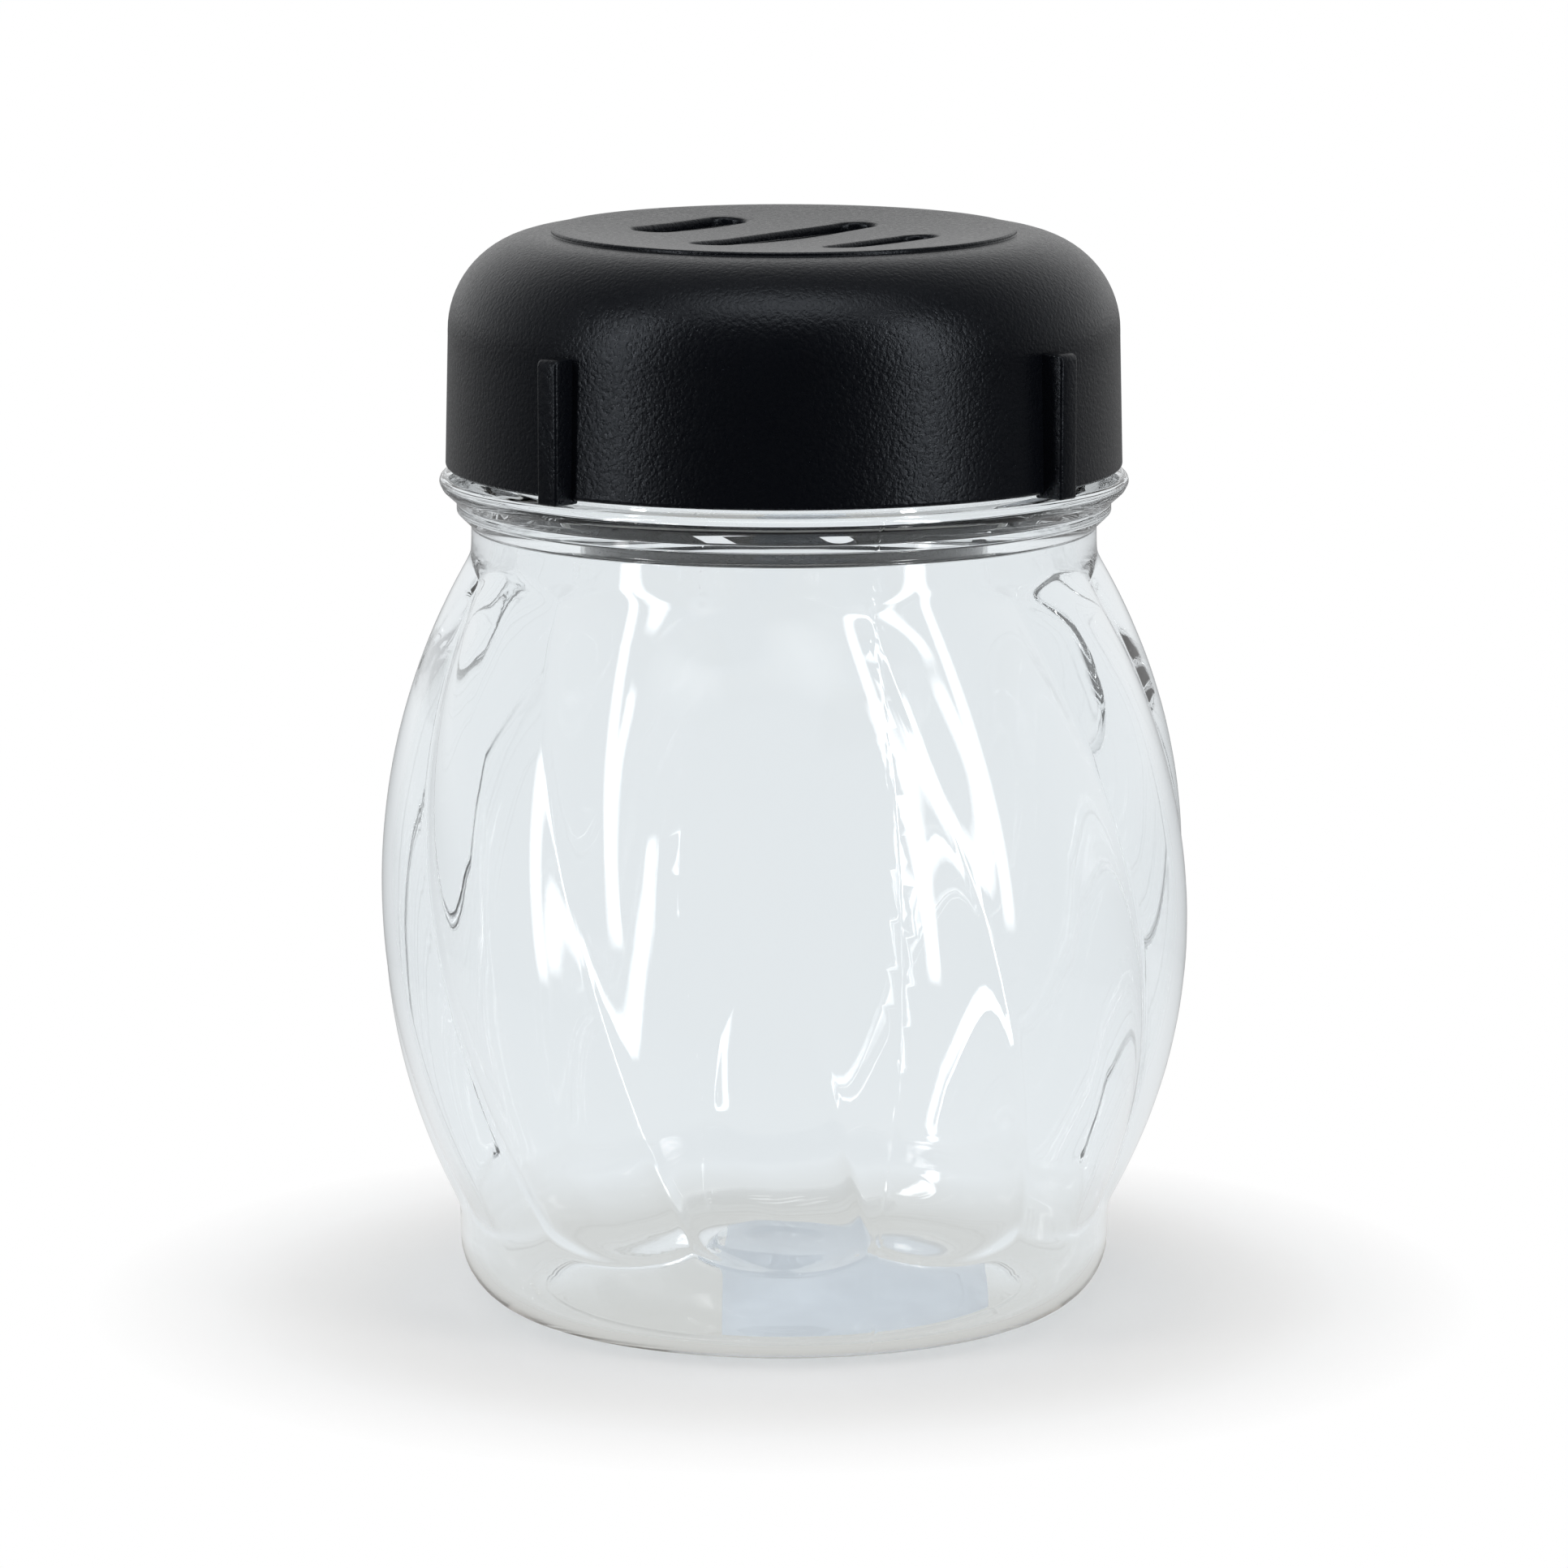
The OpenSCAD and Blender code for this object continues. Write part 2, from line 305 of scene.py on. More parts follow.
def seat(piece: bpy.types.Object, body: Body, node: str) -> None:
    """Ties a piece to its body and the solid it stands for.

    Args:
        piece: The new piece.
        body: The body it moves with.
        node: The solid's node, hidden from now on.
    """
    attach(piece, body.value)
    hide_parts(node)
    LOG.info("%s: %d faces, rides on %s", piece.name, len(piece.data.polygons), body.value)


class NodeSheet:
    """A node tree with short ways to add and join its nodes."""

    def __init__(self, tree: bpy.types.NodeTree) -> None:
        """Takes the tree to fill."""
        self.tree = tree

    @classmethod
    def of_material(cls, name: str) -> tuple["NodeSheet", bpy.types.Material]:
        """Starts an empty material.

        Args:
            name: The material's name.

        Returns:
            The sheet of its tree, and the material.
        """
        material = bpy.data.materials.new(name)
        material.use_nodes = True
        material.node_tree.nodes.clear()
        return cls(material.node_tree), material

    def add(self, kind: str, values: dict[str | int, object] | None = None,
            **settings: object) -> bpy.types.Node:
        """Adds a node.

        Args:
            kind: The node's type, without its ShaderNode prefix.
            values: Input sockets and their plain values.
            **settings: Properties of the node.

        Returns:
            The new node.
        """
        node = self.tree.nodes.new("ShaderNode" + kind)
        for key, value in settings.items():
            setattr(node, key, value)
        for socket, value in (values or {}).items():
            node.inputs[socket].default_value = value
        return node

    def join(self, *steps: tuple[bpy.types.NodeSocket, bpy.types.NodeSocket]) -> None:
        """Links each pair of an output and an input."""
        for source, target in steps:
            self.tree.links.new(source, target)

    def remap(self, source: bpy.types.NodeSocket, low: float, high: float,
              out_low: float, out_high: float) -> bpy.types.NodeSocket:
        """Maps a value from one range to another.

        Args:
            source: The value to map.
            low: Start of its range.
            high: End of its range.
            out_low: What the start becomes.
            out_high: What the end becomes.

        Returns:
            The mapped value, held inside its range.
        """
        ends = {"From Min": low, "From Max": high, "To Min": out_low, "To Max": out_high}
        node = self.add("MapRange", ends, clamp=True)
        self.join((source, node.inputs[0]))
        return node.outputs[0]

    def ramp(self, source: bpy.types.NodeSocket, first: Colour, last: Colour) -> bpy.types.NodeSocket:
        """Colours a mask from one colour to another.

        Args:
            source: The mask.
            first: Its colour at 0.
            last: Its colour at 1.

        Returns:
            The colour.
        """
        node = self.add("ValToRGB")
        node.color_ramp.elements[0].color = (*first, 1.0)
        node.color_ramp.elements[1].color = (*last, 1.0)
        self.join((source, node.inputs[0]))
        return node.outputs[0]


class GrainGroup:
    """The shared surface effect: a fine grain in height and a slow mottle, at each finish's own scales."""

    NAME = "moulded_grain"
    ROUGHNESS = 0.55
    GRAIN_DETAIL = 2.0
    MOTTLE_DETAIL = 3.0

    @classmethod
    def tree(cls) -> bpy.types.NodeTree:
        """Builds the group on first use.

        Returns:
            The group's node tree.
        """
        if cls.NAME in bpy.data.node_groups:
            return bpy.data.node_groups[cls.NAME]
        tree = bpy.data.node_groups.new(cls.NAME, "ShaderNodeTree")
        for name, kind in (("Vector", "NodeSocketVector"), ("Grain Scale", "NodeSocketFloat"),
                           ("Mottle Scale", "NodeSocketFloat")):
            tree.interface.new_socket(name, in_out="INPUT", socket_type=kind)
        for name in ("Height", "Mottle"):
            tree.interface.new_socket(name, in_out="OUTPUT", socket_type="NodeSocketFloat")
        sheet = NodeSheet(tree)
        given = tree.nodes.new("NodeGroupInput")
        made = tree.nodes.new("NodeGroupOutput")
        for scale, out, detail in (("Grain Scale", "Height", cls.GRAIN_DETAIL),
                                   ("Mottle Scale", "Mottle", cls.MOTTLE_DETAIL)):
            texture = sheet.add("TexNoise", {"Detail": detail, "Roughness": cls.ROUGHNESS})
            sheet.join(
                (given.outputs["Vector"], texture.inputs["Vector"]),
                (given.outputs[scale], texture.inputs["Scale"]),
                (texture.outputs[0], made.inputs[out]),
            )
        return tree

    @classmethod
    def place(cls, sheet: NodeSheet, grain: float, mottle: float) -> bpy.types.Node:
        """Places the group in a material, on Object coordinates.

        Args:
            sheet: The material's sheet.
            grain: Scale of the fine grain, per metre.
            mottle: Scale of the slow mottle, per metre.

        Returns:
            The group node.
        """
        node = sheet.add("Group", node_tree=cls.tree())
        node.inputs["Grain Scale"].default_value = grain
        node.inputs["Mottle Scale"].default_value = mottle
        place = sheet.add("TexCoord")
        sheet.join((place.outputs["Object"], node.inputs["Vector"]))
        return node


@dataclass(frozen=True)
class OpaqueFinish:
    """A finish whose colour drifts with the mottle, and whose roughness and normal follow the grain."""

    name: str
    dark: Colour
    light: Colour
    rough_low: float
    rough_high: float
    grain: float
    mottle: float
    bump: float
    depth: float
    specular: float = 0.5
    sheen: Colour = WHITE

    def make(self) -> bpy.types.Material:
        """Builds the material.

        Returns:
            The finished material.
        """
        sheet, material = NodeSheet.of_material(self.name)
        shader = sheet.add("BsdfPrincipled", {"Specular IOR Level": self.specular,
                                              "Specular Tint": (*self.sheen, 1.0)})
        out = sheet.add("OutputMaterial")
        grain = GrainGroup.place(sheet, self.grain, self.mottle)
        bump = sheet.add("Bump", {"Strength": self.bump, "Distance": self.depth * MM})
        mottle = grain.outputs["Mottle"]
        sheet.join(
            (sheet.ramp(sheet.remap(mottle, *MOTTLE_SPAN, 0.0, 1.0), self.dark, self.light),
             shader.inputs["Base Color"]),
            (sheet.remap(grain.outputs["Height"], *GRAIN_SPAN, self.rough_low, self.rough_high),
             shader.inputs["Roughness"]),
            (grain.outputs["Height"], bump.inputs["Height"]),
            (bump.outputs[0], shader.inputs["Normal"]),
            (shader.outputs[0], out.inputs["Surface"]),
        )
        return material


@dataclass(frozen=True)
class ClearFinish:
    """Clear moulded plastic: a bright skin with faint flow marks, which lets the lamps' light through."""

    name: str
    tint: Colour
    deep_tint: Colour
    index: float
    rough_low: float
    rough_high: float
    shade: Colour
    flow: float
    mottle: float
    bump: float
    depth: float

    def make(self) -> bpy.types.Material:
        """Builds the material.

        Returns:
            The finished material.
        """
        sheet, material = NodeSheet.of_material(self.name)
        shader = sheet.add("BsdfPrincipled", {"IOR": self.index, "Transmission Weight": 1.0, "Metallic": 0.0})
        through = sheet.add("BsdfTransparent", {"Color": (*self.shade, 1.0)})
        path = sheet.add("LightPath")
        mix = sheet.add("MixShader")
        out = sheet.add("OutputMaterial")
        grain = GrainGroup.place(sheet, self.flow, self.mottle)
        bump = sheet.add("Bump", {"Strength": self.bump, "Distance": self.depth * MM})
        mottle = grain.outputs["Mottle"]
        sheet.join(
            (sheet.ramp(mottle, self.deep_tint, self.tint), shader.inputs["Base Color"]),
            (sheet.remap(mottle, *MOTTLE_SPAN, self.rough_low, self.rough_high), shader.inputs["Roughness"]),
            (grain.outputs["Height"], bump.inputs["Height"]),
            (bump.outputs[0], shader.inputs["Normal"]),
            (path.outputs["Is Shadow Ray"], mix.inputs[0]),
            (shader.outputs[0], mix.inputs[1]),
            (through.outputs[0], mix.inputs[2]),
            (mix.outputs[0], out.inputs["Surface"]),
        )
        return material


CLEAR_PLASTIC = ClearFinish(
    "clear_plastic_skin", tint=(0.985, 0.99, 0.992), deep_tint=(0.97, 0.98, 0.985), index=1.55,
    rough_low=0.0, rough_high=0.012, shade=(0.85, 0.86, 0.865), flow=95.0, mottle=38.0, bump=0.04, depth=0.2,
)
LID_PLASTIC = OpaqueFinish(
    "lid_plastic_grain", dark=(0.0016, 0.002, 0.0034), light=(0.0026, 0.0031, 0.0048),
    rough_low=0.24, rough_high=0.36, grain=2700.0, mottle=60.0, bump=1.0, depth=0.06,
    specular=0.33, sheen=(0.84, 0.91, 1.0),
)
SOFT_LINER = OpaqueFinish(
    "soft_liner", dark=(0.6, 0.6, 0.57), light=(0.7, 0.7, 0.67),
    rough_low=0.7, rough_high=0.9, grain=2400.0, mottle=150.0, bump=0.3, depth=0.08,
)
STICKER_PAPER = OpaqueFinish(
    "sticker_paper", dark=(0.77, 0.81, 0.86), light=(0.83, 0.875, 0.925),
    rough_low=0.75, rough_high=0.92, grain=1500.0, mottle=260.0, bump=0.15, depth=0.04,
)


@dataclass(frozen=True)
class Thread:
    """A helical ridge that is raised on a plain turned wall."""

    start_z: float
    start_angle: float
    turns: float
    pitch: float = 4.233
    height: float = 1.2
    base_width: float = 2.4
    crest_width: float = 1.0
    run_out: float = 40.0

    def rise(self, angle: float, z: float) -> float:
        """Height of the ridge above its wall.

        Args:
            angle: Where on the wall, in degrees from +X.
            z: How high on the wall.

        Returns:
            The ridge's height there, 0 off the ridge.
        """
        best = 0.0
        length = self.turns * 360.0
        along = (angle - self.start_angle) % 360.0
        while along <= length:
            off = abs(z - self.start_z - self.pitch * along / 360.0)
            flank = (self.base_width / 2 - off) / ((self.base_width - self.crest_width) / 2)
            grow = min(1.0, along / self.run_out, (length - along) / self.run_out)
            best = max(best, grow * min(1.0, max(0.0, flank)))
            along += 360.0
        return best * self.height


@dataclass
class LobedJar:
    """The clear jar: heel, swirled lobes, bead, threaded neck and pushed-up base, as one closed skin."""

    # Barrel over its crests, foot and plain waist
    belly_r: float = 39.45
    belly_z: float = 39.8
    foot_r: float = 31.6
    foot_z: float = 9.4
    heel_r: float = 6.5
    heel_top: float = 7.2
    waist_r: float = 30.1
    waist_z: float = 76.0
    waist_land: float = 0.4
    lobe_top: float = 73.5
    end_blend: float = 0.3
    # Wall, thicker towards the neck, and the inner skin's wide fillets
    wall: float = 1.1
    wall_from: float = 20.0
    thicken_low: float = 57.0
    thicken_high: float = 74.5
    inner_fillet: float = 0.8
    foot_fillet_share: float = 0.6
    # Lobes, the grooves between them, and how far the inner skin follows them
    lobes: int = 12
    lobe_columns: int = 22
    lobe_twist: float = 31.0
    groove_depth: float = 1.0
    groove_soft: float = 0.03
    groove_angle: float = -89.0
    inner_follow: float = 0.8
    inner_soft: float = 0.12
    column_pull: float = 0.2
    # Domed base with its standing ring, boss and dimple
    push_up: float = 4.2
    recess_r: float = 23.3
    stand_round: float = 0.8
    valley_shift: float = 0.2
    valley_round: float = 1.0
    dome_margin: float = 0.9
    boss_r: float = 7.2
    boss_h: float = 0.6
    boss_slope: float = 0.45
    boss_round: float = 0.3
    dimple_r: float = 3.85
    dimple_h: float = 0.3
    dimple_half: float = 0.5
    dimple_round: float = 0.6
    # Stepped bead under the lid
    bead_step_r: float = 31.5
    bead_step_low: float = 77.75
    bead_step_high: float = 78.7
    bead_step_round: float = 0.3
    bead_r: float = 33.15
    bead_bevel: float = 0.3
    bead_low: float = 79.9
    bead_mid: float = 80.5
    bead_top: float = 81.3
    bead_round: float = 0.5
    bead_top_round: float = 0.7
    # Neck, mouth and rim
    neck_r: float = 29.2
    neck_round: float = 0.4
    neck_skin: float = 0.1
    neck_low: float = 82.2
    neck_high: float = 94.0
    neck_step: float = 0.4
    thread_clear: float = 0.5
    mouth_r: float = 26.8
    throat_r: float = 27.8
    throat_z: float = 77.5
    throat_round: float = 2.0
    rim_z: float = 95.0
    rim_round: float = 0.7
    # Mould seam
    seam_angle: float = -74.0
    seam_half: float = 0.2
    seam_reach: float = 0.001
    seam_h: float = 0.04
    seam_low: float = 0.5
    seam_stop: float = 0.2
    # Faint waves of both skins, which fade out at the lobes' ends
    wave: float = 0.012
    wave_length: float = 13.0
    inner_wave: Corner = (7.0, 3.0, 11.0)
    foot_fade: float = 8.0
    waist_fade: float = 7.0
    # Rows lie further apart between the arches at the lobes' ends; the outer ones run up, the inner ones down
    outer_low: float = 8.0
    outer_arches: Point = (13.0, 69.0)
    outer_steps: Corner = (0.3, 1.2, 0.3)
    inner_arches: Point = (64.0, 16.0)
    inner_steps: Corner = (0.6, 1.3, 0.4)
    under_step: float = 1.2
    floor_step: float = 1.0
    thread: Thread = Thread(start_z=87.31, start_angle=200.0, turns=1.25)

    def barrel(self, z: float) -> float:
        """Radius of the barrel over its crests.

        Args:
            z: Height above the floor.

        Returns:
            The radius from two arcs that share an upright tangent at the belly.
        """
        end_r, end_z = (self.waist_r, self.lobe_top) if z > self.belly_z else (self.foot_r, self.foot_z)
        drop = self.belly_r - end_r
        arc = ((end_z - self.belly_z) ** 2 + drop ** 2) / (2 * drop)
        return self.belly_r - arc + math.sqrt(arc ** 2 - (z - self.belly_z) ** 2)

    def inner_low(self, across: float, z: float) -> float:
        """Radius of the inner wall below the belly, which keeps an even wall down to the foot.

        Args:
            across: Place across the lobe, -1 and 1 in its grooves.
            z: Height above the floor.

        Returns:
            The radius.
        """
        rise = blend_step(self.foot_z, self.belly_z, z)
        plain = self.foot_r - self.wall
        lean = math.hypot(1.0, slope(self.barrel, z))
        follow = 1.0 + (self.inner_follow - 1.0) * rise
        fillet = self.inner_fillet * (self.foot_fillet_share + (1.0 - self.foot_fillet_share) * rise)
        over = self.barrel(z) - follow * self.cut(across, self.inner_soft) - self.wall * lean - plain
        return plain + (over + math.hypot(over, fillet)) / 2.0

    def inner_high(self, across: float, z: float) -> float:
        """Radius of the inner wall above the belly, whose plastic thickens towards the neck.

        Args:
            across: Place across the lobe, -1 and 1 in its grooves.
            z: Height above the floor.

        Returns:
            The radius.
        """
        def profile(at: float) -> float:
            """Outer radius over the crests, with a wide fillet at the waist."""
            over = self.barrel(at) - self.waist_r
            return self.waist_r + (over + math.hypot(over, self.inner_fillet)) / 2.0

        grow = blend_step(self.thicken_low, self.thicken_high, z)
        thick = self.wall + (self.waist_r - self.throat_r - self.wall) * grow
        plain = max(self.throat_r, profile(z) - thick * math.hypot(1.0, slope(profile, z)))
        calm = blend_step(self.lobe_top, self.lobe_top - self.waist_fade, z)
        return plain - self.inner_follow * calm * self.cut(across, self.inner_soft)

    def inner(self, across: float, z: float) -> float:
        """Radius of the inner wall at a place across a lobe and a height above the floor."""
        return self.inner_low(across, z) if z < self.belly_z else self.inner_high(across, z)

    def cut(self, across: float, soft: float) -> float:
        """Depth of a lobe's skin below its crest.

        Args:
            across: Place across the lobe, -1 and 1 in its grooves.
            soft: Rounding of the grooves, as a share of half a lobe.

        Returns:
            The depth.
        """
        return self.groove_depth * (1.0 + soft - math.hypot(1.0 - abs(across), soft)) ** 2

    def skin(self, across: float, z: float) -> float:
        """Outer radius, where the lobes die out in arches on the plain foot and the plain waist.

        Args:
            across: Place across the lobe, -1 and 1 in its grooves.
            z: Height above the floor.

        Returns:
            The radius.
        """
        plain = self.foot_r if z < self.belly_z else self.waist_r
        over = self.barrel(z) - self.cut(across, self.groove_soft) - plain
        return plain + (over + math.hypot(over, self.end_blend)) / 2.0

    def dome(self, r: float, lift: float = 0.0) -> float:
        """Height of the domed base.

        Args:
            r: Radius from the axis.
            lift: Distance above the dome's underside.

        Returns:
            The height of an arc through the ring that the jar stands on.
        """
        arc = (self.recess_r ** 2 + self.push_up ** 2) / (2 * self.push_up)
        return self.push_up - arc + math.sqrt((arc + lift) ** 2 - r ** 2)

    def section(self) -> list[Point]:
        """Draws the closed section from the axis under the base to the axis above the floor.

        Returns:
            Radius and height of each point.
        """
        outer_z = rows((self.outer_low, *self.outer_arches, self.waist_z - self.waist_land), self.outer_steps)
        outer = [(self.skin(0.0, z), z, 0.0) for z in outer_z]
        neck = [(self.neck_r, z, 0.0) for z in spread(self.neck_low, self.neck_high, self.neck_step)]
        inner_z = rows((self.waist_z, *self.inner_arches, self.heel_top), self.inner_steps)
        inner = [(self.inner(0.0, z), z, 0.0) for z in inner_z]
        dome_edge = self.recess_r - self.dome_margin
        under = [(r, self.dome(r), 0.0) for r in spread(0.0, dome_edge, self.under_step)]
        boss_foot = self.boss_r + self.boss_slope
        floor = [(r, self.dome(r, self.wall), 0.0)
                 for r in spread(dome_edge, boss_foot + self.dome_margin, self.floor_step)]
        boss_top = self.dome(0.0, self.wall) + self.boss_h
        dimple_z = boss_top - self.dimple_h
        return rounded_path(
            under
            + [(self.recess_r, 0.0, self.stand_round), (self.foot_r, 0.0, self.heel_r),
               (self.foot_r, self.heel_top, 0.0)]
            + outer
            + [(self.waist_r, self.waist_z + self.waist_land, self.bead_round),
               (self.bead_step_r, self.bead_step_low, self.bead_step_round),
               (self.bead_step_r, self.bead_step_high, self.bead_step_round),
               (self.bead_r - self.bead_bevel, self.bead_low, self.bead_round),
               (self.bead_r, self.bead_mid, self.bead_round),
               (self.bead_r, self.bead_top, self.bead_top_round),
               (self.neck_r, self.bead_top, self.neck_round)]
            + neck
            + [(self.neck_r, self.rim_z, self.rim_round), (self.mouth_r, self.rim_z, self.rim_round),
               (self.mouth_r, self.bead_top, self.throat_round),
               (self.throat_r, self.throat_z, self.throat_round)]
            + inner
            + [(self.foot_r - self.wall, self.wall, self.heel_r - self.wall),
               (self.recess_r + self.valley_shift, self.wall, self.valley_round)]
            + floor
            + [(boss_foot, self.dome(boss_foot, self.wall), self.boss_round),
               (self.boss_r - self.boss_slope, boss_top, self.boss_round),
               (self.dimple_r + self.dimple_half, boss_top, self.dimple_round),
               (self.dimple_r - self.dimple_half, dimple_z, self.dimple_round), (0.0, dimple_z, 0.0)]
        )

    def swirl(self, r: float, angle: float, z: float) -> Corner:
        """Moves one vertex of the turned jar: twists it and shapes the lobes and the thread.

        Args:
            r: Radius from the axis.
            angle: Angle from +X in degrees, before the twist.
            z: Height.

        Returns:
            The new radius, angle and height.
        """
        pitch = 360.0 / self.lobes
        across = 2.0 * ((angle / pitch) % 1.0) - 1.0
        moved = across + self.column_pull * math.sin(math.pi * across)
        held = min(self.waist_z, max(self.heel_r, z))
        twist = self.groove_angle - self.lobe_twist * (held - self.belly_z) / (self.lobe_top - self.foot_z)
        turned = angle + twist + (moved - across) * pitch / 2.0
        if self.heel_r < z < self.waist_z and r > self.wall_from:
            place = Vector((r * math.cos(math.radians(turned)), r * math.sin(math.radians(turned)), z))
            calm = (blend_step(self.foot_z, self.foot_z + self.foot_fade, z)
                    * blend_step(self.lobe_top, self.lobe_top - self.waist_fade, z))
            if r > self.skin(0.0, z) - self.wall / 2:
                r = self.skin(moved, z) + self.wave * calm * noise.noise(place / self.wave_length)
            else:
                r += self.inner(moved, z) - self.inner(0.0, z)
                r += self.wave * calm * noise.noise(place / self.wave_length + Vector(self.inner_wave))
        elif z > self.bead_top + self.thread_clear and r > self.neck_r - self.neck_skin:
            r += self.thread.rise(turned, z)
        return r, turned, z

    def outside(self, r: float, z: float) -> bool:
        """Tells the outer skin from the inner one.

        Args:
            r: Radius of a point of the shaped jar.
            z: Its height above the floor.

        Returns:
            Whether the point lies on the outer skin.
        """
        if z < self.heel_r:
            stand_r = self.foot_r - self.heel_r
            return r > stand_r and math.hypot(r - stand_r, z - self.heel_r) > self.heel_r - self.wall / 2
        if z > self.waist_z:
            return r > self.neck_r
        return r > self.skin(0.0, z) - (self.groove_depth + self.wall) / 2

    def raise_seam(self, mesh: bmesh.types.BMesh) -> None:
        """Raises the fine parting line of the two mould halves, up both sides of the jar.

        Args:
            mesh: The shaped jar.
        """
        turn = math.radians(self.seam_angle)
        side = Vector((-math.sin(turn), math.cos(turn), 0.0))
        for offset in (-self.seam_half, 0.0, self.seam_half):
            bmesh.ops.bisect_plane(mesh, geom=whole(mesh), dist=SLICE, plane_co=side * offset, plane_no=side)
        for vert in mesh.verts:
            r, z = vert.co.xy.length, vert.co.z
            on_seam = abs(vert.co.dot(side)) < self.seam_reach
            if on_seam and self.seam_low < z < self.bead_top - self.seam_stop and self.outside(r, z):
                vert.co.xy *= 1.0 + self.seam_h / r

    def build(self) -> bmesh.types.BMesh:
        """Models the jar.

        Returns:
            The jar's mesh in millimetres.
        """
        mesh = revolve(self.section(), self.lobes * self.lobe_columns)
        reshape(mesh, self.swirl)
        self.raise_seam(mesh)
        return mesh

    def dress(self) -> None:
        """Builds the jar, finishes it in clear plastic and seats it on its body."""
        piece = add_piece(self.build(), "jar_body", CLEAR_PLASTIC.make(), crease=50.0)
        seat(piece, Body.JAR, "jar")


@dataclass
class SlottedLid:
    """The black screw lid: domed shell with a dished disc, three slots, grip ribs and a thread."""

    # Shell
    skirt_r: float = 32.55
    skirt_z: float = 82.0
    skirt_round: float = 0.4
    shoulder_out: float = 32.25
    shoulder_r: float = 9.3
    shoulder_land: float = 0.5
    flat_z: float = 104.4
    bore_r: float = 30.85
    bore_round: float = 0.3
    bore_top_round: float = 0.2
    bore_low: float = 1.0
    bore_stop: float = 0.8
    bore_step: float = 0.35
    inner_shoulder_r: float = 7.5
    ceiling_z: float = 102.6
    # Raised disc with its dish
    disc_r: float = 22.3
    disc_z: float = 104.8
    disc_round: float = 0.22
    disc_root: float = 0.12
    dish_r: float = 21.4
    dish_h: float = 0.85
    dish_margin: float = 0.3
    # Rib that bears on the seal
    seal_rib_in: float = 27.1
    seal_rib_out: float = 28.9
    seal_rib_z: float = 96.2
    seal_rib_round: float = 0.4
    # Columns and arcs of the mesh, and the angle that the slots and the ribs share
    columns: int = 240
    arc_turn: float = 5.0
    angle: float = 50.4
    # Slots
    slot_w: float = 4.1
    slot_lengths: Corner = (14.8, 25.5, 14.8)
    slot_step: float = 11.9
    slot_round: float = 0.4
    slot_sides: int = 36
    slot_reach: float = 4.0
    top_grid: float = 1.6
    # Grip ribs, and the gate mark on one of them
    ribs: int = 4
    rib_w: float = 2.4
    rib_in: float = 31.6
    rib_out: float = 34.6
    rib_low: float = 81.6
    rib_top: float = 95.3
    rib_round: float = 0.3
    rib_top_round: float = 0.7
    gate_z: float = 88.0
    gate_r: float = 0.95
    gate_h: float = 0.1
    gate_root: float = 0.2
    gate_taper: float = 0.85
    gate_sides: int = 32
    thread: Thread = Thread(start_z=86.62, start_angle=290.0, turns=1.0)

    def shoulder_arc(self, first: float, last: float) -> list[Corner]:
        """Follows the inner shoulder.

        Args:
            first: Angle above the level at the first point, in degrees.
            last: Angle at the last point.

        Returns:
            Radius and height of each point, without a rounding.
        """
        middle = self.shoulder_out - self.shoulder_r
        low = self.flat_z - self.shoulder_r
        return [(middle + self.inner_shoulder_r * math.cos(math.radians(a)),
                 low + self.inner_shoulder_r * math.sin(math.radians(a)), 0.0)
                for a in spread(first, last, self.arc_turn)]

    def section(self) -> list[Point]:
        """Draws the shell's section from the dish's edge, round the skirt, to the ceiling.

        Returns:
            Radius and height of each point.
        """
        middle = self.shoulder_out - self.shoulder_r
        low = self.flat_z - self.shoulder_r
        out_angle = math.degrees(math.acos((self.seal_rib_out - middle) / self.inner_shoulder_r))
        in_angle = math.degrees(math.acos((self.seal_rib_in - middle) / self.inner_shoulder_r))
        bore_z = spread(self.skirt_z + self.bore_low, low - self.bore_stop, self.bore_step)
        bore = [(self.bore_r, z, 0.0) for z in bore_z]
        return rounded_path(
            [(self.dish_r, self.disc_z, 0.0), (self.disc_r, self.disc_z, self.disc_round),
             (self.disc_r, self.flat_z, self.disc_root), (self.shoulder_out, self.flat_z, self.shoulder_r),
             (self.shoulder_out, low - self.shoulder_land, 0.0),
             (self.skirt_r, self.skirt_z, self.skirt_round), (self.bore_r, self.skirt_z, self.bore_round)]
            + bore
            + [(self.bore_r, low, self.bore_top_round)]
            + self.shoulder_arc(0.0, out_angle)
            + [(self.seal_rib_out, self.seal_rib_z, self.seal_rib_round),
               (self.seal_rib_in, self.seal_rib_z, self.seal_rib_round)]
            + self.shoulder_arc(in_angle, 90.0)
            + [(self.dish_r, self.ceiling_z, 0.0)],
            turn=self.arc_turn,
        )

    def press_thread(self, r: float, angle: float, z: float) -> Corner:
        """Moves one vertex of the bore in by the thread's height."""
        on_bore = abs(r - self.bore_r) < LEVEL and z < self.flat_z - self.shoulder_r
        return r - self.thread.rise(angle, z) if on_bore else r, angle, z

